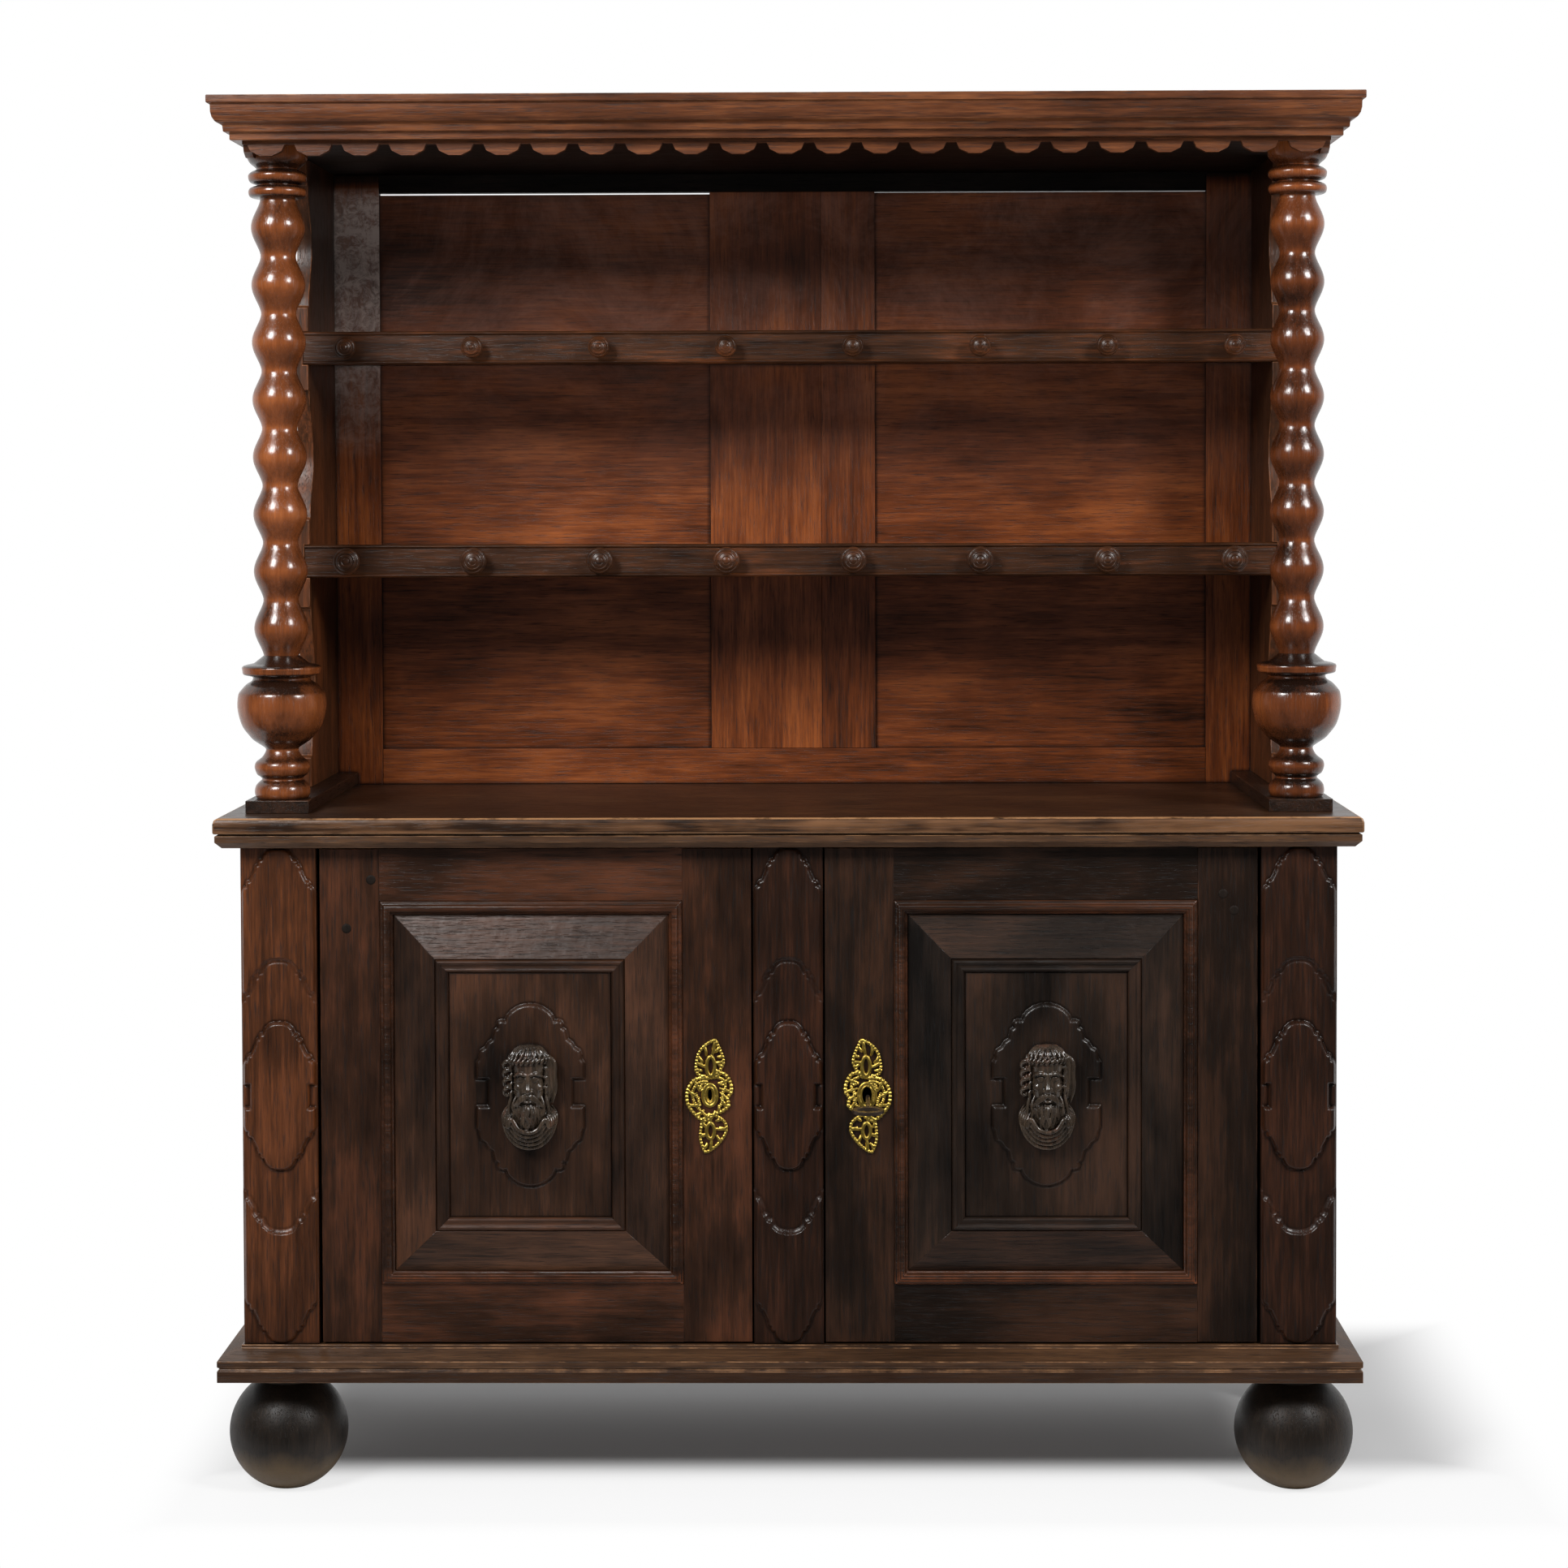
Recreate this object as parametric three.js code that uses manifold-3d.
// A plate cabinet in baroque style: a cupboard with two panelled doors on ball feet, and above it an open
// plate rack between two turned posts. Millimetres, +Z up, front towards -Y. The pieces are placed from the
// front edge of the counter (Y = 0) and the floor (Z = 0). The whole cabinet is moved at the end, so that its
// origin is the centre of its base.

import * as THREE from 'three';
import { mergeVertices } from 'three/addons/utils/BufferGeometryUtils.js';
import Module from 'manifold-3d';

const wasm = await Module();
wasm.setup();

// Overall sizes, from the floor up
const cabinetWidth = 1660;
const cabinetDepth = 562;
const footHeight = 175;
const plinthHeight = 48;
const caseHeight = 729;
const counterFrameHeight = 21;
const counterThickness = 23;
const rackHeight = 978;
const corniceHeight = 62;
const overhang = 34;

// Clearances
const clearance = 0.3;
const overrun = 5;

// Ball feet in front, and plain blocks behind them
const footDiameter = 174;
const footCentreHeight = 80;
const footNeckRadius = 42;
const footInset = footDiameter / 2;
const footSetback = 100;
const spigotRadius = 16;
const spigotLength = 30;
const rearFootWidth = 64;
const rearFootInset = 8;
const rearFootSetback = 10;

// Base frame and floor
const baseRailWidth = 130;
const floorThickness = 16;
const floorLap = 12;

// Cupboard
const postThickness = 27;
const pilasterWidth = 110;
const centrePostWidth = 102;
const sideThickness = 24;
const backThickness = 20;
const sideStileWidth = 85;
const sideRailHeight = 95;
const sidePanelSink = 7;
const sidePanelBevel = 46;
const innerShelfThickness = 18;
const innerShelfHeight = 352;
const innerShelfSetback = 130;
const counterFrameWidth = 90;

// Carved relief of the pilasters and the centre post
const reliefMargin = 3;
const reliefThickness = 5;
const cartoucheThickness = 8;
const reliefEndHeight = 64;
const reliefGap = 3;
const recessHeight = 395;
const cartoucheHeight = 216;
const cartoucheNotchDepth = 9;
const cartoucheNotchHeight = 34;

// Doors
const doorThickness = 24;
const doorInset = 1;
const doorGapBottom = 3;
const doorGapTop = 3.5;
const hingeGap = 5;
const lockGap = 2.5;
const hingeStileWidth = 87;
const lockStileWidth = 100;
const doorTopRailHeight = 76;
const doorBottomRailHeight = 85;
const tenonLength = 28;
const tenonShoulder = 12;
const grooveWidth = 10;
const grooveDepth = 9;
const grooveSetback = 9;
const doorMouldingWidth = 20;
const doorMouldingRise = 10;
const slopeWidth = 62;
const slopeStart = 2;
const slopeRise = 22;
const rimWidth = 20;
const rimRise = 3;
const fieldSink = 2;
const doorCartoucheWidth = 155;
const doorCartoucheHeight = 265;
const doorCartoucheThickness = 4;
const doorCartoucheEnd = 85;
const doorCartoucheNotchDepth = 17;
const doorCartoucheNotchHeight = 40;

// Carved heads on the doors
const maskWidth = 84;
const maskHeight = 155;
const maskDepth = 44;

// Pivot pins
const pivotInset = 30;
const pinRadius = 5;
const pinDepth = 22;
const pinCollarRadius = 9;

// Locks, escutcheons and key
const keyholeInset = 62;
const keyholeHeight = 361;
const keyholeRadius = 6.2;
const keyholeSlotWidth = 5;
const keyholeSlotLength = 17;
const lockWidth = 100;
const lockDepth = 18;
const lockAbove = 42;
const lockBelow = 30;
const lockWall = 2;
const lockEdgeInset = 3;
const boltHeight = 14;
const boltThickness = 8;
const boltLength = 62;
const boltRise = 17;
const boltSetback = 3;
const escutcheonWidth = 65;
const escutcheonHeight = 163;
const escutcheonThickness = 2.5;
const shankRadius = 3.25;
const shankReach = 51;
const keyDroop = 8;
const bowWidth = 46;
const bowLength = 30;
const bowThickness = 5;
const bowRim = 6.5;
const bitReach = 13;
const bitLength = 8;
const bitThickness = 3;
const bitSetback = 4;
const beadFullnessShare = 0.44;

// Plate rack
const sillWidth = 93;
const sillThickness = 19;
const sillInset = 35;
const sillSetback = 71;
const postInset = 82;
const postSetback = 117;
const postBaseHeight = 209;
const postTopHeight = 77;
const bulbRadius = 65;
const beadRadius = 39.3;
const beadNeckRadius = 25;
const beadCount = 8;
const capitalRadius = 44;
const postSpigotRadius = 14;
const postSpigotLength = 12;
const sideBoardThickness = 23;
const sideBoardInset = 73;
const rackFrontSetback = 286;
const scallopDepth = 46;
const railHeight = 50;
const railThickness = 20;
const railHousing = 8;
const railBead = 3;
const lowerRailHeight = 340;
const upperRailHeight = 665;
const shelfThickness = 22;
const shelfSeat = 8;
const shelfHousing = 7;
const pegRadiusLower = 20.5;
const pegRadiusUpper = 16.5;
const pegLength = 28;
const pegEndMargin = 66.5;
const pegCount = 8;

// Rack back
const backStileWidth = 95;
const backBottomRailHeight = 57;
const backTopRailHeight = 29;
const muntinWidth = 264;
const backPanelThickness = 9;
const backPanelSink = 6;
const backTongue = 7;
const backPanelSlip = 3;

// Top and cornice
const topThickness = 21;
const corniceReach = 44;
const corniceShelf = 34;
const apronThickness = 12;
const apronStrip = 5;
const apronDrop = 21;
const pendantCount = 23;
const pendantWidth = 54;

// Outlines and profiles, as shares of the piece that has them
const plinthShares = [
  [1, 0], [1, 0.35], [0.91, 0.39], [0.91, 0.43], [1, 0.47], [1, 0.65], [0.1, 0.9], [0.1, 1]
];
const counterFrameShares = [[0.66, 0], [0.92, 0.42], [0.92, 0.86], [0.8, 0.9], [0.8, 1]];
const counterShares = [[1, 0], [1, 0.62], [0.95, 0.85], [0.86, 0.97], [0.74, 1]];
const corniceShares = [
  [0.355, 0], [0.355, 0.17], [0.53, 0.18], [0.55, 0.33], [0.62, 0.36], [0.75, 0.4], [0.84, 0.5],
  [0.88, 0.62], [0.886, 0.8], [1, 0.82], [1, 1]
];
const pendantShares = [[-1, 0], [-0.84, 0.58], [-0.34, 1], [0.34, 1], [0.84, 0.58], [1, 0]];
const reliefEndShares = [
  [0, 0], [0.18, 0.03], [0.32, 0.12], [0.42, 0.28], [0.52, 0.33], [0.54, 0.46], [0.6, 0.66],
  [0.72, 0.8], [0.93, 0.84], [1, 1]
];
const doorCartoucheEndShares = [
  [0, 0], [0.18, 0.02], [0.34, 0.12], [0.46, 0.34], [0.66, 0.38], [0.66, 0.5], [0.72, 0.7],
  [0.84, 0.88], [0.84, 0.96], [1, 1]
];
const doorMouldingShares = [
  [1, 0], [1, 0.62], [0.86, 0.72], [0.74, 0.74], [0.66, 0.94], [0.45, 1], [0.24, 0.92],
  [0.14, 0.68], [0, 0.62], [0, 0]
];
const rimShares = [
  [0, 0], [0.06, -0.8], [0.1, 0.6], [0.28, 1], [0.46, 0.6], [0.52, 0.1], [0.94, 0.1], [1, -0.3]
];
const bayShares = [
  [0, 0], [0.14, 0], [0.15, 0.22], [0.22, 0.3], [0.32, 0.62], [0.44, 0.94], [0.56, 0.94],
  [0.68, 0.62], [0.78, 0.3], [0.85, 0.22], [0.86, 0], [1, 0]
];
const postBaseShares = [
  [0.59, 0], [0.62, 0.03], [0.61, 0.08], [0.55, 0.115], [0.46, 0.135], [0.52, 0.16], [0.61, 0.195],
  [0.61, 0.24], [0.5, 0.28], [0.38, 0.32], [0.37, 0.355], [0.45, 0.375], [0.7, 0.43], [0.88, 0.505],
  [0.98, 0.59], [1, 0.66], [0.95, 0.75], [0.82, 0.8], [0.66, 0.835], [0.66, 0.862], [0.85, 0.875],
  [0.88, 0.91], [0.86, 0.94], [0.6, 0.955]
];
const postTopShares = [
  [0.66, 0], [0.91, 0.05], [0.91, 0.16], [0.7, 0.22], [0.7, 0.31], [0.91, 0.37], [0.91, 0.5],
  [0.69, 0.56], [0.73, 0.62], [0.86, 0.74], [0.97, 0.88], [1, 1]
];
const pegShares = [[0.5, 0], [0.42, 0.4], [0.9, 0.48], [1, 0.56], [1, 0.76], [0.72, 0.96], [0.3, 1]];

// A pierced leaf plate: the outline from its tip round by the side away from the hinge, and its piercings
const escutcheonShares = [
  [0.16, 0.5], [0.27, 0.41], [0.345, 0.33], [0.33, 0.285], [0.21, 0.22], [0.345, 0.21], [0.45, 0.16],
  [0.5, 0.07], [0.42, -0.07], [0.33, -0.12], [0.345, -0.21], [0.385, -0.3], [0.33, -0.38],
  [0.15, -0.45], [-0.07, -0.5], [-0.18, -0.44], [-0.19, -0.33], [-0.14, -0.24], [-0.37, -0.12],
  [-0.47, -0.03], [-0.5, 0.04], [-0.43, 0.12], [-0.26, 0.17], [-0.285, 0.24], [-0.26, 0.32],
  [-0.16, 0.41], [0, 0.47]
];
const piercingShares = [
  [[0.054, 0.317], [0.13, 0.262], [0.074, 0.208], [0.006, 0.254]],
  [[-0.31, 0.114], [-0.2, 0.1], [-0.2, 0.07], [-0.29, 0.065]],
  [[0.28, 0.13], [0.36, 0.12], [0.35, 0.075], [0.29, 0.08]],
  [[-0.28, -0.065], [-0.21, -0.08], [-0.17, -0.125], [-0.24, -0.115]],
  [[0.24, -0.02], [0.31, -0.03], [0.29, -0.07], [0.24, -0.075]],
  [[-0.01, -0.27], [0.1, -0.29], [0.07, -0.35], [-0.02, -0.34]]
];

// Rings of the carved heads from beard to cap: height, half-width, depth at the side, and depth at the middle
const maskRingShares = [
  [-0.5, 0.4, 0.18, 0.3], [-0.46, 0.72, 0.34, 0.5], [-0.38, 0.93, 0.46, 0.66],
  [-0.24, 1, 0.5, 0.78], [-0.1, 0.94, 0.52, 0.82], [0, 0.86, 0.52, 0.84], [0.045, 0.84, 0.52, 0.76],
  [0.08, 0.86, 0.54, 0.96], [0.11, 0.88, 0.56, 1], [0.17, 0.92, 0.56, 0.86], [0.2, 0.95, 0.54, 0.78],
  [0.235, 0.97, 0.6, 0.9], [0.3, 1, 0.6, 0.88], [0.33, 0.98, 0.64, 0.92],
  [0.42, 0.9, 0.58, 0.84], [0.48, 0.68, 0.4, 0.56], [0.5, 0.4, 0.2, 0.3]
];
const maskAcrossShares = [[-1, 0], [-0.92, 0.55], [-0.66, 0.95], [-0.3, 1], [-0.12, 1.04], [0, 1]];

// Heights and places worked out from the sizes above
const halfWidth = cabinetWidth / 2;
const footX = halfWidth - footInset;
const rearFootX = halfWidth - rearFootInset - rearFootWidth / 2;
const rearFootY = cabinetDepth - rearFootSetback - rearFootWidth / 2;
const caseHalf = halfWidth - overhang;
const caseFront = overhang;
const caseBottom = footHeight + plinthHeight;
const caseTop = caseBottom + caseHeight;
const counterBottom = caseTop + counterFrameHeight;
const counterTop = counterBottom + counterThickness;
const soffit = counterTop + rackHeight;
const cabinetTop = soffit + corniceHeight;
const postBack = caseFront + postThickness;
const pilasterInner = caseHalf - pilasterWidth;
const backFront = cabinetDepth - backThickness;
const doorFront = caseFront + doorInset;
const doorBack = doorFront + doorThickness;
const doorBottom = caseBottom + doorGapBottom;
const doorTop = caseTop - doorGapTop;
const doorInner = centrePostWidth / 2 + lockGap;
const doorOuter = pilasterInner - hingeGap;
const panelInner = doorInner + lockStileWidth;
const panelOuter = doorOuter - hingeStileWidth;
const panelBottom = doorBottom + doorBottomRailHeight;
const panelTop = doorTop - doorTopRailHeight;
const panelMiddle = (panelInner + panelOuter) / 2;
const panelCentreHeight = (panelBottom + panelTop) / 2;
const grooveFront = doorFront + grooveSetback;
const grooveBack = grooveFront + grooveWidth;
const slopeFoot = doorFront + slopeStart;
const slopeTop = slopeFoot - slopeRise;
const fieldFace = slopeTop + fieldSink;
const doorCartoucheFace = fieldFace - doorCartoucheThickness;
const pivotX = doorOuter - pivotInset;
const pivotY = (doorFront + doorBack) / 2;
const keyholeX = doorInner + keyholeInset;
const keyholeZ = doorBottom + keyholeHeight;
const lockBack = doorBack + lockDepth;
const lockInner = doorInner + lockEdgeInset;
const boltFront = doorBack + boltSetback;
const boltBottom = keyholeZ + boltRise;
const sillOuter = halfWidth - sillInset;
const sillInner = sillOuter - sillWidth;
const sillTop = counterTop + sillThickness;
const postX = halfWidth - postInset;
const sideBoardOuter = halfWidth - sideBoardInset;
const sideBoardInner = sideBoardOuter - sideBoardThickness;
const lowerRailBottom = counterTop + lowerRailHeight;
const upperRailBottom = counterTop + upperRailHeight;
const stileInner = sideBoardOuter - backStileWidth;
const backRailTop = counterTop + backBottomRailHeight;
const backTopRailBottom = soffit - backTopRailHeight;
const topHalf = halfWidth - corniceReach;
const topFront = corniceReach;
const apronBottom = soffit - apronDrop;

// Finishes
function finish(color, roughness, metalness = 0) {
  return new THREE.MeshStandardMaterial({ color, roughness, metalness });
}
const caseOak = finish('#2b1812', 0.42);
const rackOak = finish('#4b2415', 0.36);
const counterOak = finish('#3a2115', 0.45);
const footOak = finish('#1b1512', 0.4);
const maskOak = finish('#1c1512', 0.38);
const brass = finish('#c9a02c', 0.28, 1);
const iron = finish('#3b342e', 0.55, 0.9);

const cabinet = new THREE.Group();

function place(name, geometry, material) {
  const mesh = new THREE.Mesh(geometry, material);
  mesh.name = name;
  cabinet.add(mesh);
  return mesh;
}

// Shapes are welded so that each is one closed skin of positions, with no triangle that has lost its area
function welded(geometry) {
  geometry.deleteAttribute('normal');
  geometry.deleteAttribute('uv');
  const shape = mergeVertices(geometry);
  const corners = Array.from(shape.index.array);
  const kept = [];
  for (let i = 0; i < corners.length; i += 3) {
    const [a, b, c] = corners.slice(i, i + 3);
    if (a !== b && b !== c && c !== a) kept.push(a, b, c);
  }
  shape.setIndex(kept);
  return shape;
}

function solid(geometry) {
  const shape = welded(geometry);
  return new wasm.Manifold(new wasm.Mesh({
    numProp: 3,
    vertProperties: shape.attributes.position.array,
    triVerts: Uint32Array.from(shape.index.array)
  }));
}

function surface(body) {
  const { vertProperties, triVerts } = body.getMesh();
  const geometry = new THREE.BufferGeometry();
  geometry.setAttribute('position', new THREE.BufferAttribute(vertProperties, 3));
  geometry.setIndex(new THREE.BufferAttribute(triVerts, 1));
  geometry.computeVertexNormals();
  return geometry;
}

function join(body, ...others) {
  return surface(others.reduce((whole, other) => whole.add(solid(other)), solid(body)));
}

function cut(body, ...tools) {
  return surface(tools.reduce((left, tool) => left.subtract(solid(tool)), solid(body)));
}

function block([left, right], [front, back], [bottom, top]) {
  const geometry = new THREE.BoxGeometry(right - left, back - front, top - bottom);
  return geometry.translate((left + right) / 2, (front + back) / 2, (bottom + top) / 2);
}

// A span on the left (-1) or right (1) half of the cabinet
function across(side, inner, outer) {
  return side < 0 ? [-outer, -inner] : [inner, outer];
}

// A board whose outline is drawn in X and Z and whose thickness lies between front and back. The outline is
// turned counter-clockwise first, so that its holes run the other way on the left and on the right
function frontBoard(outline, [front, back], holes = []) {
  const points = outline.map(([x, z]) => new THREE.Vector2(x, z));
  const shape = new THREE.Shape(THREE.ShapeUtils.isClockWise(points) ? points.reverse() : points);
  shape.holes = holes.map((hole) => new THREE.Path(hole.map(([x, z]) => new THREE.Vector2(x, z))));
  const geometry = new THREE.ExtrudeGeometry(shape, { depth: back - front, bevelEnabled: false });
  const turn = new THREE.Matrix4().makeBasis(
    new THREE.Vector3(1, 0, 0), new THREE.Vector3(0, 0, 1), new THREE.Vector3(0, -1, 0)
  );
  return geometry.applyMatrix4(turn).translate(0, back, 0);
}

// A board whose outline is drawn in Y and Z and whose thickness lies between left and right
function sideBoard(outline, [left, right]) {
  const shape = new THREE.Shape(outline.map(([y, z]) => new THREE.Vector2(y, z)));
  const geometry = new THREE.ExtrudeGeometry(shape, { depth: right - left, bevelEnabled: false });
  const turn = new THREE.Matrix4().makeBasis(
    new THREE.Vector3(0, 1, 0), new THREE.Vector3(0, 0, 1), new THREE.Vector3(1, 0, 0)
  );
  return geometry.applyMatrix4(turn).translate(left, 0, 0);
}

// A turned piece standing on Z = 0: the profile lists radius and height
function turned(profile, segments) {
  const points = profile.map(([radius, height]) => new THREE.Vector2(radius, height));
  points.unshift(new THREE.Vector2(0, profile[0][1]));
  points.push(new THREE.Vector2(0, profile[profile.length - 1][1]));
  return new THREE.LatheGeometry(points, segments).rotateX(Math.PI / 2);
}

function rod(radius, length, segments) {
  return turned([[radius, 0], [radius, length]], segments);
}

// A skin over four-cornered rings; its ends are closed, or its last ring joins the first
function skin(rings, joined = false) {
  const cornerCount = 4;
  const index = [];
  const spans = joined ? rings.length : rings.length - 1;
  for (let i = 0; i < spans; i += 1) {
    const here = i * cornerCount;
    const next = ((i + 1) % rings.length) * cornerCount;
    for (let k = 0; k < cornerCount; k += 1) {
      const after = (k + 1) % cornerCount;
      index.push(here + k, here + after, next + after, here + k, next + after, next + k);
    }
  }
  if (!joined) {
    const last = (rings.length - 1) * cornerCount;
    index.push(0, 2, 1, 0, 3, 2);
    index.push(last, last + 1, last + 2, last, last + 2, last + 3);
  }
  const geometry = new THREE.BufferGeometry();
  geometry.setAttribute('position', new THREE.Float32BufferAttribute(rings.flat(2), 3));
  geometry.setIndex(index);
  geometry.computeVertexNormals();
  return geometry;
}

// A moulded board: rectangles set out from the given half-width and front, one for each point of the profile
function mouldedBoard(half, front, back, bottom, height, reach, shares) {
  return skin(shares.map(([out, up]) => {
    const x = half + reach * out;
    const y = front - reach * out;
    const z = bottom + height * up;
    return [[-x, y, z], [x, y, z], [x, back, z], [-x, back, z]];
  }));
}

// A rectangle in X and Z at depth y, shrunk by an inset, its corners in the order that faces a skin to the front
function doorRing([left, right], [bottom, top], inset, y) {
  return [
    [left + inset, y, bottom + inset], [right - inset, y, bottom + inset], [right - inset, y, top - inset],
    [left + inset, y, top - inset]
  ];
}

function baseFeet() {
  const radius = footDiameter / 2;
  const flat = Math.sqrt(radius ** 2 - footCentreHeight ** 2);
  const lowest = Math.atan2(-footCentreHeight, flat);
  const highest = Math.acos(footNeckRadius / radius);
  const footStepCount = 8;
  const profile = [];
  for (let i = 0; i <= footStepCount; i += 1) {
    const angle = lowest + (highest - lowest) * i / footStepCount;
    profile.push([radius * Math.cos(angle), i === 0 ? 0 : footCentreHeight + radius * Math.sin(angle)]);
  }
  profile.push([footNeckRadius, footHeight], [spigotRadius, footHeight], [spigotRadius, footHeight + spigotLength]);
  for (const [hand, side] of [['left', -1], ['right', 1]]) {
    place(`foot_front_${hand}`, turned(profile, 16).translate(side * footX, footSetback, 0), footOak);
    const foot = block(
      across(side, rearFootX - rearFootWidth / 2, rearFootX + rearFootWidth / 2),
      [rearFootY - rearFootWidth / 2, rearFootY + rearFootWidth / 2], [0, footHeight]
    );
    const spigot = rod(spigotRadius, spigotLength + overrun, 16);
    place(`foot_rear_${hand}`, join(foot, spigot.translate(side * rearFootX, rearFootY, footHeight - overrun)), footOak);
  }
}

function plinth() {
  const moulded = mouldedBoard(
    caseHalf, caseFront, cabinetDepth, footHeight, plinthHeight, overhang, plinthShares
  );
  const x = halfWidth - baseRailWidth;
  const opening = block(
    [-x, x], [baseRailWidth, cabinetDepth - baseRailWidth], [footHeight - overrun, caseBottom + overrun]
  );
  const seatX = x + floorLap + clearance;
  const seatFront = baseRailWidth - floorLap - clearance;
  const seat = block(
    [-seatX, seatX], [seatFront, cabinetDepth - seatFront], [caseBottom - floorThickness, caseBottom + overrun]
  );
  const holes = [];
  for (const side of [-1, 1]) {
    for (const [x, y] of [[footX, footSetback], [rearFootX, rearFootY]]) {
      const hole = rod(spigotRadius + clearance, spigotLength + clearance + overrun, 16);
      holes.push(hole.translate(side * x, y, footHeight - overrun));
    }
    const pin = rod(pinRadius + clearance, pinDepth + clearance + overrun, 16);
    holes.push(pin.translate(side * pivotX, pivotY, caseBottom - pinDepth - clearance));
  }
  place('plinth_frame', cut(moulded, opening, seat, ...holes), caseOak);
  const floorX = x + floorLap;
  const floorFront = baseRailWidth - floorLap;
  place('floor_board', block(
    [-floorX, floorX], [floorFront, cabinetDepth - floorFront], [caseBottom - floorThickness, caseBottom]
  ), caseOak);
}

// One end of a cartouche and its mirror image: half-outline points from the top down, out to the full half-width
function cartoucheOutline(half, halfHeight, endShares, endHeight, notchDepth, notchHeight) {
  const end = endShares.map(([out, down]) => [half * out, halfHeight - endHeight * down]);
  const side = notchDepth > 0
    ? [[half, notchHeight / 2], [half - notchDepth, notchHeight / 2]]
    : [];
  const quarter = [...end, ...side];
  const right = [...quarter, ...quarter.map(([x, z]) => [x, -z]).reverse()];
  const left = right.slice(1, -1).map(([x, z]) => [-x, z]).reverse();
  return [...right, ...left];
}

function moved(outline, x, z) {
  return outline.map(([u, v]) => [u + x, v + z]);
}

// A post of the cupboard front: a plain board with a long relief plate, a sunk field in it and a raised cartouche
function reliefPost(name, centreX, width) {
  const half = width / 2 - reliefMargin;
  const middle = (caseBottom + caseTop) / 2;
  const board = block([centreX - width / 2, centreX + width / 2], [caseFront, postBack], [caseBottom, caseTop]);
  const plate = cartoucheOutline(half, caseHeight / 2 - reliefGap, reliefEndShares, reliefEndHeight, 0, 0);
  const recess = cartoucheOutline(half + overrun, recessHeight / 2, reliefEndShares, reliefEndHeight, 0, 0);
  const cartouche = cartoucheOutline(
    half, cartoucheHeight / 2, reliefEndShares, reliefEndHeight, cartoucheNotchDepth, cartoucheNotchHeight
  );
  const plateSolid = cut(
    frontBoard(moved(plate, centreX, middle), [caseFront - reliefThickness, caseFront + overrun]),
    frontBoard(moved(recess, centreX, middle), [caseFront - reliefThickness - overrun, caseFront])
  );
  const cartoucheSolid = frontBoard(
    moved(cartouche, centreX, middle), [caseFront - cartoucheThickness, caseFront + overrun]
  );
  place(name, join(board, plateSolid, cartoucheSolid), caseOak);
}

// The cupboard's side: one board with a sunk border round a bevelled field
function caseSide(name, side) {
  const face = side * caseHalf;
  const inner = side * (caseHalf - sideThickness);
  const sunk = side * (caseHalf - sidePanelSink);
  const front = postBack;
  const ring = (x, inset, railInset) => {
    const corners = [
      [x, front + inset, caseBottom + railInset], [x, cabinetDepth - inset, caseBottom + railInset],
      [x, cabinetDepth - inset, caseTop - railInset], [x, front + inset, caseTop - railInset]
    ];
    return side < 0 ? corners.reverse() : corners;
  };
  const border = sideStileWidth + sidePanelSink;
  const rail = sideRailHeight + sidePanelSink;
  place(name, skin([
    ring(inner, 0, 0), ring(face, 0, 0), ring(face, sideStileWidth, sideRailHeight), ring(sunk, border, rail),
    ring(face, border + sidePanelBevel, rail + sidePanelBevel)
  ]), caseOak);
}

function cupboardCase() {
  reliefPost('pilaster_left', -caseHalf + pilasterWidth / 2, pilasterWidth);
  reliefPost('pilaster_right', caseHalf - pilasterWidth / 2, pilasterWidth);
  reliefPost('centre_post', 0, centrePostWidth);
  caseSide('case_side_left', -1);
  caseSide('case_side_right', 1);
  const inside = caseHalf - sideThickness - clearance;
  place('lower_back', block([-inside, inside], [backFront, cabinetDepth], [caseBottom, caseTop]), caseOak);
  const shelfBottom = caseBottom + innerShelfHeight;
  place('lower_shelf', block(
    [-inside, inside], [innerShelfSetback, backFront - clearance], [shelfBottom, shelfBottom + innerShelfThickness]
  ), caseOak);
}

function counter() {
  const frame = mouldedBoard(
    caseHalf, caseFront, cabinetDepth, caseTop, counterFrameHeight, overhang, counterFrameShares
  );
  const x = caseHalf - counterFrameWidth;
  const opening = block(
    [-x, x], [caseFront + counterFrameWidth, cabinetDepth - counterFrameWidth],
    [caseTop - overrun, counterBottom + overrun]
  );
  const holes = [-1, 1].map((side) => {
    const pin = rod(pinRadius + clearance, pinDepth + overrun, 16);
    return pin.translate(side * pivotX, pivotY, caseTop - overrun);
  });
  place('counter_frame', cut(frame, opening, ...holes), counterOak);
  place('counter_top', mouldedBoard(
    caseHalf, caseFront, cabinetDepth, counterBottom, counterThickness, overhang, counterShares
  ), counterOak);
}

// A stile runs the door's full height, with a groove for the panel and mortises for the rails' tenons
function doorStile(side, inner, outer, grooveAtOuter) {
  const body = block(across(side, inner, outer), [doorFront, doorBack], [doorBottom, doorTop]);
  const edge = grooveAtOuter ? outer : inner;
  const into = grooveAtOuter ? -1 : 1;
  const slot = (depth, bottom, top) => {
    const ends = [edge + into * depth, edge - into * overrun].sort((a, b) => a - b);
    return block(across(side, ends[0], ends[1]), [grooveFront, grooveBack], [bottom, top]);
  };
  const mortise = tenonLength + clearance;
  return cut(
    body,
    slot(grooveDepth, panelBottom - grooveDepth, panelTop + grooveDepth),
    slot(mortise, doorBottom + tenonShoulder - clearance, panelBottom - grooveDepth + clearance),
    slot(mortise, panelTop + grooveDepth - clearance, doorTop - tenonShoulder + clearance)
  );
}

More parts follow.
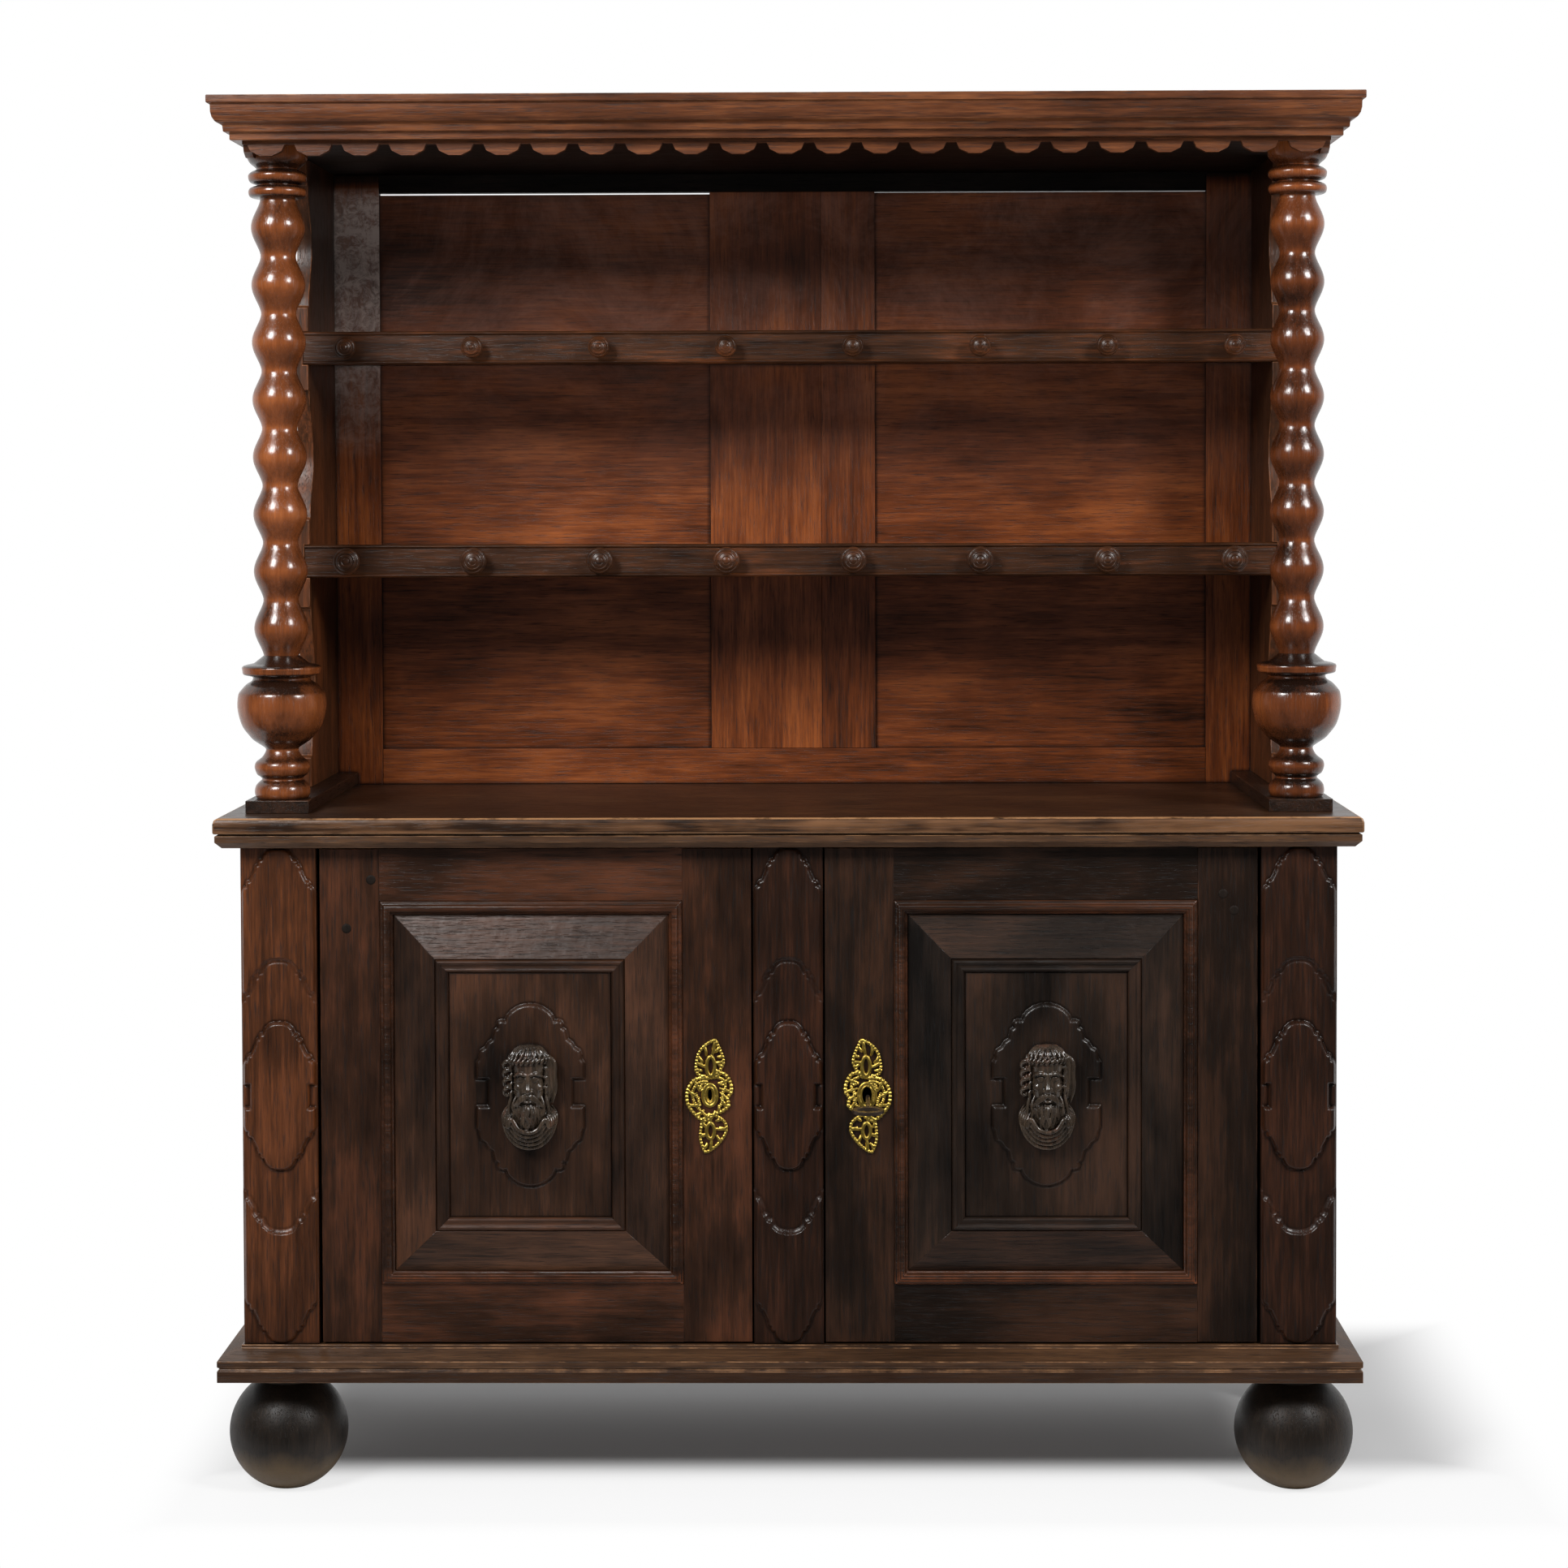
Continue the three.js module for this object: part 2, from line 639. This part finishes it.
// A rail fits between the stiles; its tenons are as thick as the groove less their clearance
function doorRail(side, bottom, top, grooveAtTop) {
  const body = block(across(side, panelInner, panelOuter), [doorFront, doorBack], [bottom, top]);
  const tenonBottom = grooveAtTop ? bottom + tenonShoulder : bottom + grooveDepth;
  const tenonTop = grooveAtTop ? top - grooveDepth : top - tenonShoulder;
  const tenon = block(
    across(side, panelInner - tenonLength, panelOuter + tenonLength),
    [grooveFront + clearance, grooveBack - clearance], [tenonBottom, tenonTop]
  );
  const grooveSpan = grooveAtTop ? [top - grooveDepth, top + overrun] : [bottom - overrun, bottom + grooveDepth];
  const groove = block(
    across(side, panelInner - tenonLength - overrun, panelOuter + tenonLength + overrun),
    [grooveFront, grooveBack], grooveSpan
  );
  return cut(join(body, tenon), groove);
}

function doorPanel(side) {
  const x = across(side, panelInner, panelOuter);
  const z = [panelBottom, panelTop];
  const tongue = -(grooveDepth - clearance);
  const tongueFront = grooveFront + clearance;
  const step = doorMouldingWidth + clearance;
  const rim = step + slopeWidth;
  const rings = [
    doorRing(x, z, tongue, grooveBack - clearance), doorRing(x, z, tongue, tongueFront),
    doorRing(x, z, step, tongueFront), doorRing(x, z, step, slopeFoot), doorRing(x, z, rim, slopeTop),
    ...rimShares.slice(1).map(([along, rise]) => doorRing(x, z, rim + rimWidth * along, slopeTop - rimRise * rise)),
    doorRing(x, z, rim + rimWidth, fieldFace)
  ];
  const outline = cartoucheOutline(
    doorCartoucheWidth / 2, doorCartoucheHeight / 2, doorCartoucheEndShares, doorCartoucheEnd,
    doorCartoucheNotchDepth, doorCartoucheNotchHeight
  );
  const plate = frontBoard(
    moved(outline, side * panelMiddle, panelCentreHeight), [doorCartoucheFace, fieldFace + overrun]
  );
  return join(skin(rings), plate);
}

function doorMoulding(side) {
  const x = across(side, panelInner, panelOuter);
  const z = [panelBottom, panelTop];
  const back = grooveFront + clearance;
  const height = back - doorFront + doorMouldingRise;
  return skin(doorMouldingShares.map(([out, up]) => {
    const inset = doorMouldingWidth - (doorMouldingWidth - clearance) * out;
    return doorRing(x, z, inset, back - height * up);
  }), true);
}

// A bearded head in a cap, alike on both sides, with a flat back
function maskShape(x, y, z) {
  const rings = maskRingShares.map(([up, wide, deepSide, deepMiddle]) => {
    const half = maskAcrossShares.map(([u, v], i) => {
      const blend = i / (maskAcrossShares.length - 1);
      const deep = deepSide + (deepMiddle - deepSide) * blend ** 2;
      return [x + maskWidth / 2 * wide * u, y - maskDepth * deep * v, z + maskHeight * up];
    });
    const mirrored = half.slice(0, -1).reverse().map(([px, py, pz]) => [2 * x - px, py, pz]);
    return [...half, ...mirrored];
  });
  const count = rings[0].length;
  const index = [];
  for (let i = 0; i < rings.length - 1; i += 1) {
    for (let k = 0; k < count; k += 1) {
      const after = (k + 1) % count;
      const here = i * count;
      const next = here + count;
      index.push(here + k, here + after, next + after, here + k, next + after, next + k);
    }
  }
  const last = (rings.length - 1) * count;
  for (let k = 1; k < count - 1; k += 1) {
    index.push(0, k + 1, k);
    index.push(last, last + k, last + k + 1);
  }
  const geometry = new THREE.BufferGeometry();
  geometry.setAttribute('position', new THREE.Float32BufferAttribute(rings.flat(2), 3));
  geometry.setIndex(index);
  geometry.computeVertexNormals();
  return geometry;
}

// The hole for the key: a round eye with a slot under it, from front to back
function keyholeTools(side, front, back) {
  const x = side * keyholeX;
  const eye = rod(keyholeRadius, back - front, 16).rotateX(-Math.PI / 2).translate(x, front, keyholeZ);
  const slot = block(
    [x - keyholeSlotWidth / 2, x + keyholeSlotWidth / 2], [front, back],
    [keyholeZ - keyholeSlotLength, keyholeZ]
  );
  return [eye, slot];
}

function escutcheon(side) {
  const scaled = (shares) => shares.map(([u, v]) => [
    side * (keyholeX - escutcheonWidth * u), keyholeZ + escutcheonHeight * v
  ]);
  const plate = frontBoard(
    scaled(escutcheonShares), [doorFront - escutcheonThickness, doorFront], piercingShares.map(scaled)
  );
  return cut(plate, ...keyholeTools(side, doorFront - escutcheonThickness - overrun, doorFront + overrun));
}

function lockCase(side) {
  const x = across(side, lockInner, lockInner + lockWidth);
  const z = [keyholeZ - lockBelow, keyholeZ + lockAbove];
  const cavity = block(
    across(side, lockInner + lockWall, lockInner + lockWidth - lockWall),
    [doorBack - overrun, lockBack - lockWall], [z[0] + lockWall, z[1] - lockWall]
  );
  const boltSlot = block(
    across(side, lockInner - overrun, lockInner + lockWall + overrun),
    [boltFront - clearance, boltFront + boltThickness + clearance],
    [boltBottom - clearance, boltBottom + boltHeight + clearance]
  );
  return cut(block(x, [doorBack, lockBack], z), cavity, boltSlot);
}

function pivotPins(hand, side) {
  const collarTop = pinDepth + doorGapBottom - clearance;
  const lower = turned([
    [pinRadius, 0], [pinRadius, pinDepth], [pinCollarRadius, pinDepth], [pinCollarRadius, collarTop],
    [pinRadius, collarTop], [pinRadius, 2 * pinDepth + doorGapBottom]
  ], 12);
  place(`hinge_pin_lower_${hand}`, lower.translate(side * pivotX, pivotY, caseBottom - pinDepth), iron);
  const reach = counterFrameHeight - clearance;
  const upperLength = Math.min(pinDepth, reach);
  const upper = turned([
    [pinRadius, 0], [pinRadius, pinDepth + clearance], [pinCollarRadius, pinDepth + clearance],
    [pinCollarRadius, pinDepth + doorGapTop], [pinRadius, pinDepth + doorGapTop],
    [pinRadius, pinDepth + doorGapTop + upperLength]
  ], 12);
  place(`hinge_pin_upper_${hand}`, upper.translate(side * pivotX, pivotY, doorTop - pinDepth), iron);
}

function door(hand, side) {
  const pinHoles = [doorBottom - overrun, doorTop - pinDepth - clearance].map((z) => {
    const hole = rod(pinRadius + clearance, pinDepth + clearance + overrun, 16);
    return hole.translate(side * pivotX, pivotY, z);
  });
  const hingeStile = doorStile(side, panelOuter, doorOuter, false);
  place(`door_hinge_stile_${hand}`, cut(hingeStile, ...pinHoles), caseOak);
  const lockStile = doorStile(side, doorInner, panelInner, true);
  const keyhole = keyholeTools(side, doorFront - overrun, doorBack + overrun);
  place(`door_lock_stile_${hand}`, cut(lockStile, ...keyhole), caseOak);
  place(`door_bottom_rail_${hand}`, doorRail(side, doorBottom, panelBottom, true), caseOak);
  place(`door_top_rail_${hand}`, doorRail(side, panelTop, doorTop, false), caseOak);
  place(`door_panel_${hand}`, doorPanel(side), caseOak);
  place(`door_moulding_${hand}`, doorMoulding(side), caseOak);
  place(`door_mask_${hand}`, maskShape(side * panelMiddle, doorCartoucheFace, panelCentreHeight), maskOak);
  place(`escutcheon_${hand}`, escutcheon(side), brass);
  place(`lock_case_${hand}`, lockCase(side), iron);
  const bolt = block(
    across(side, lockInner, lockInner + boltLength), [boltFront, boltFront + boltThickness],
    [boltBottom, boltBottom + boltHeight]
  );
  place(`lock_bolt_${hand}`, bolt, iron);
  pivotPins(hand, side);
}

// The key stands in the right lock with its tip at the back of the lock case, its bow level and its outer end
// hanging a little
function key() {
  const middle = (doorFront + doorBack) / 2;
  const droop = THREE.MathUtils.degToRad(keyDroop);
  const seat = lockBack - lockWall - clearance - middle;
  const inside = (seat - shankRadius * Math.sin(droop)) / Math.cos(droop);
  const outside = middle - doorFront + shankReach;
  const shank = rod(shankRadius, inside + outside, 12).rotateX(Math.PI / 2).translate(0, inside, 0);
  const bowCentre = -outside - bowLength / 2 + bowRim / 2;
  const ellipse = (halfX, halfY, steps) => Array.from({ length: steps }, (_, i) => {
    const angle = 2 * Math.PI * i / steps;
    return new THREE.Vector2(halfX * Math.cos(angle), bowCentre + halfY * Math.sin(angle));
  });
  const outline = new THREE.Shape(ellipse(bowWidth / 2, bowLength / 2, 20));
  outline.holes = [new THREE.Path(ellipse(bowWidth / 2 - bowRim, bowLength / 2 - bowRim, 16))];
  const bow = new THREE.ExtrudeGeometry(outline, { depth: bowThickness, bevelEnabled: false });
  bow.translate(0, 0, -bowThickness / 2);
  const bitEnd = inside - bitSetback;
  const bit = block([0, bitReach], [bitEnd - bitLength, bitEnd], [-bitThickness / 2, bitThickness / 2]);
  const mesh = place('key', join(shank, bow, bit), iron);
  mesh.position.set(keyholeX, middle, keyholeZ);
  mesh.rotation.x = droop;
}

function capitalRecess(side) {
  return rod(capitalRadius + clearance, apronDrop + overrun - apronStrip, 20)
    .translate(side * postX, postSetback, apronBottom - overrun);
}

// A hanging edge: a thin strip with a row of round pendants under it, drawn along u from start to end
function pendantOutline(start, end, pitch, count) {
  const outline = [[start, soffit]];
  const first = start + pitch / 2;
  for (let i = 0; i < count; i += 1) {
    for (const [out, down] of pendantShares) {
      const z = soffit - apronStrip - (apronDrop - apronStrip) * down;
      outline.push([first + i * pitch + pendantWidth / 2 * out, z]);
    }
  }
  outline.push([end, soffit - apronStrip], [end, soffit]);
  outline.splice(1, 0, [start, soffit - apronStrip]);
  return outline;
}

function rackTop() {
  const board = block([-topHalf, topHalf], [topFront, cabinetDepth], [soffit, soffit + topThickness]);
  const holes = [-1, 1].map((side) => {
    const hole = rod(postSpigotRadius + clearance, postSpigotLength + clearance + overrun, 16);
    return hole.translate(side * postX, postSetback, soffit - overrun);
  });
  place('top_board', cut(board, ...holes), rackOak);

  const moulded = mouldedBoard(
    topHalf, topFront, cabinetDepth, soffit, corniceHeight, corniceReach, corniceShares
  );
  const lowX = topHalf + clearance;
  const low = block(
    [-lowX, lowX], [topFront - clearance, cabinetDepth + overrun], [soffit - overrun, soffit + topThickness]
  );
  const highX = topHalf - corniceShelf;
  const high = block(
    [-highX, highX], [topFront + corniceShelf, cabinetDepth + overrun], [soffit - overrun, cabinetTop + overrun]
  );
  place('cornice', cut(moulded, low, high), rackOak);

  const pitch = 2 * topHalf / pendantCount;
  const frontApron = frontBoard(
    pendantOutline(-topHalf, topHalf, pitch, pendantCount), [topFront, topFront + apronThickness]
  );
  const sideCount = Math.floor((cabinetDepth - topFront) / pitch);
  const sides = [-1, 1].map((side) => cut(
    sideBoard(
      pendantOutline(topFront, cabinetDepth, pitch, sideCount), across(side, topHalf - apronThickness, topHalf)
    ),
    capitalRecess(side)
  ));
  place('apron', join(frontApron, ...sides), rackOak);
}

// A turned post: ringed foot and bulb, a row of beads, rings and a bowl-shaped capital, a spigot at each end
function turnedPost(name, side) {
  const height = soffit - sillTop;
  const pitch = (height - postBaseHeight - postTopHeight) / beadCount;
  const profile = [[postSpigotRadius, -postSpigotLength], [postSpigotRadius, 0]];
  for (const [out, up] of postBaseShares) profile.push([bulbRadius * out, postBaseHeight * up]);
  const beadStepCount = 4;
  for (let i = 0; i < beadCount; i += 1) {
    const centre = postBaseHeight + pitch * (i + 0.5);
    for (let k = 0; k <= beadStepCount; k += 1) {
      const angle = Math.PI * (k / beadStepCount - 0.5);
      const radius = beadNeckRadius + (beadRadius - beadNeckRadius) * Math.cos(angle);
      profile.push([radius, centre + pitch * beadFullnessShare * Math.sin(angle)]);
    }
  }
  for (const [out, up] of postTopShares) profile.push([capitalRadius * out, height - postTopHeight * (1 - up)]);
  profile.push([postSpigotRadius, height], [postSpigotRadius, height + postSpigotLength]);
  const post = turned(profile, 12).translate(side * postX, postSetback, sillTop);
  const apronNotch = block(
    across(side, topHalf - apronThickness - clearance, topHalf + clearance),
    [postSetback - capitalRadius, postSetback + capitalRadius], [soffit - apronStrip - clearance, soffit + overrun]
  );
  place(name, cut(post, apronNotch), rackOak);
}

function sill(name, side) {
  const depth = [sillSetback, backFront - clearance];
  const board = block(across(side, sillInner, sillOuter), depth, [counterTop, sillTop]);
  const hole = rod(postSpigotRadius + clearance, sillThickness + overrun, 16)
    .translate(side * postX, postSetback, sillTop - postSpigotLength - clearance);
  place(name, cut(board, hole), rackOak);
}

// A side of the rack: its front edge is scalloped in each bay, and housed for the plate rails and shelves
function rackSide(name, side) {
  const bays = [
    [sillTop, lowerRailBottom], [lowerRailBottom + railHeight, upperRailBottom],
    [upperRailBottom + railHeight, soffit]
  ];
  const edge = bays.flatMap(([bottom, top]) => bayShares.map(([up, back]) => [
    rackFrontSetback + scallopDepth * back, bottom + (top - bottom) * up
  ]));
  const outline = [...edge, [backFront - clearance, soffit], [backFront - clearance, sillTop]];
  const board = sideBoard(outline, across(side, sideBoardInner, sideBoardOuter));
  const housings = [lowerRailBottom, upperRailBottom].flatMap((bottom) => [
    block(
      across(side, sideBoardInner - overrun, sideBoardInner + railHousing + clearance),
      [rackFrontSetback - overrun, rackFrontSetback + railThickness + clearance],
      [bottom - clearance, bottom + railHeight + clearance]
    ),
    block(
      across(side, sideBoardInner - overrun, sideBoardInner + shelfHousing + clearance),
      [rackFrontSetback + railThickness - clearance, cabinetDepth],
      [bottom + shelfSeat - clearance, bottom + shelfSeat + shelfThickness + clearance]
    )
  ]);
  place(name, cut(board, ...housings), rackOak);
}

// A plate rail: beads along its edges and a row of turned pegs
function plateRail(name, bottom, pegRadius) {
  const front = rackFrontSetback;
  const back = front + railThickness;
  const top = bottom + railHeight;
  const half = sideBoardInner + railHousing;
  const rail = sideBoard([
    [front, bottom], [back, bottom], [back, top], [front, top], [front, top - 2 * railBead],
    [front + railBead, top - 2 * railBead], [front + railBead, bottom + 2 * railBead],
    [front, bottom + 2 * railBead]
  ], [-half, half]);
  const pegs = Array.from({ length: pegCount }, (_, i) => {
    const profile = pegShares.map(([out, along]) => [pegRadius * out, pegLength * along]);
    profile.unshift([profile[0][0], -railBead]);
    const x = (half - pegEndMargin) * (2 * i / (pegCount - 1) - 1);
    return turned(profile, 10).rotateX(Math.PI / 2).translate(x, front + railBead, bottom + railHeight / 2);
  });
  place(name, join(rail, ...pegs), rackOak);
}

function shelf(name, railBottom) {
  const half = sideBoardInner + shelfHousing;
  const bottom = railBottom + shelfSeat;
  place(name, block(
    [-half, half], [rackFrontSetback + railThickness, backFront - clearance], [bottom, bottom + shelfThickness]
  ), rackOak);
}

// The rack's back: stiles, rails and a wide muntin, with two panels in their grooves
function rackBack() {
  const depth = [backFront, cabinetDepth];
  const panelFront = backFront + backPanelSink;
  const panelBack = panelFront + backPanelThickness;
  const groove = [panelFront - clearance, panelBack + clearance];
  const slot = backTongue + clearance;
  for (const [hand, side] of [['left', -1], ['right', 1]]) {
    const stile = block(across(side, stileInner, sideBoardOuter), depth, [counterTop, soffit]);
    const cutter = block(
      across(side, stileInner - overrun, stileInner + slot), groove, [backRailTop - slot, backTopRailBottom + slot]
    );
    place(`back_stile_${hand}`, cut(stile, cutter), rackOak);
    const panel = block(
      across(side, muntinWidth / 2 - backTongue, stileInner + backTongue), [panelFront, panelBack],
      [backRailTop - backTongue, backTopRailBottom - backPanelSlip]
    );
    place(`back_panel_${hand}`, panel, rackOak);
  }
  const muntin = block([-muntinWidth / 2, muntinWidth / 2], depth, [backRailTop, backTopRailBottom]);
  const cutters = [-1, 1].map((side) => block(
    across(side, muntinWidth / 2 - slot, muntinWidth / 2 + overrun), groove, [backRailTop - overrun, soffit]
  ));
  place('back_muntin', cut(muntin, ...cutters), rackOak);
  const bottomRail = block([-stileInner, stileInner], depth, [counterTop, backRailTop]);
  const bottomGroove = block(
    [-stileInner - overrun, stileInner + overrun], groove, [backRailTop - slot, backRailTop + overrun]
  );
  place('back_bottom_rail', cut(bottomRail, bottomGroove), rackOak);
  place('back_top_rail', block([-stileInner, stileInner], depth, [backTopRailBottom, soffit]), rackOak);
}

baseFeet();
plinth();
cupboardCase();
counter();
door('left', -1);
door('right', 1);
key();
sill('sill_left', -1);
sill('sill_right', 1);
turnedPost('turned_post_left', -1);
turnedPost('turned_post_right', 1);
rackSide('rack_side_left', -1);
rackSide('rack_side_right', 1);
shelf('shelf_lower', lowerRailBottom);
shelf('shelf_upper', upperRailBottom);
plateRail('plate_rail_lower', lowerRailBottom, pegRadiusLower);
plateRail('plate_rail_upper', upperRailBottom, pegRadiusUpper);
rackBack();
rackTop();

const bounds = new THREE.Box3().setFromObject(cabinet, true);
const centre = bounds.getCenter(new THREE.Vector3());
cabinet.position.set(-centre.x, -centre.y, -bounds.min.z);

export default cabinet;
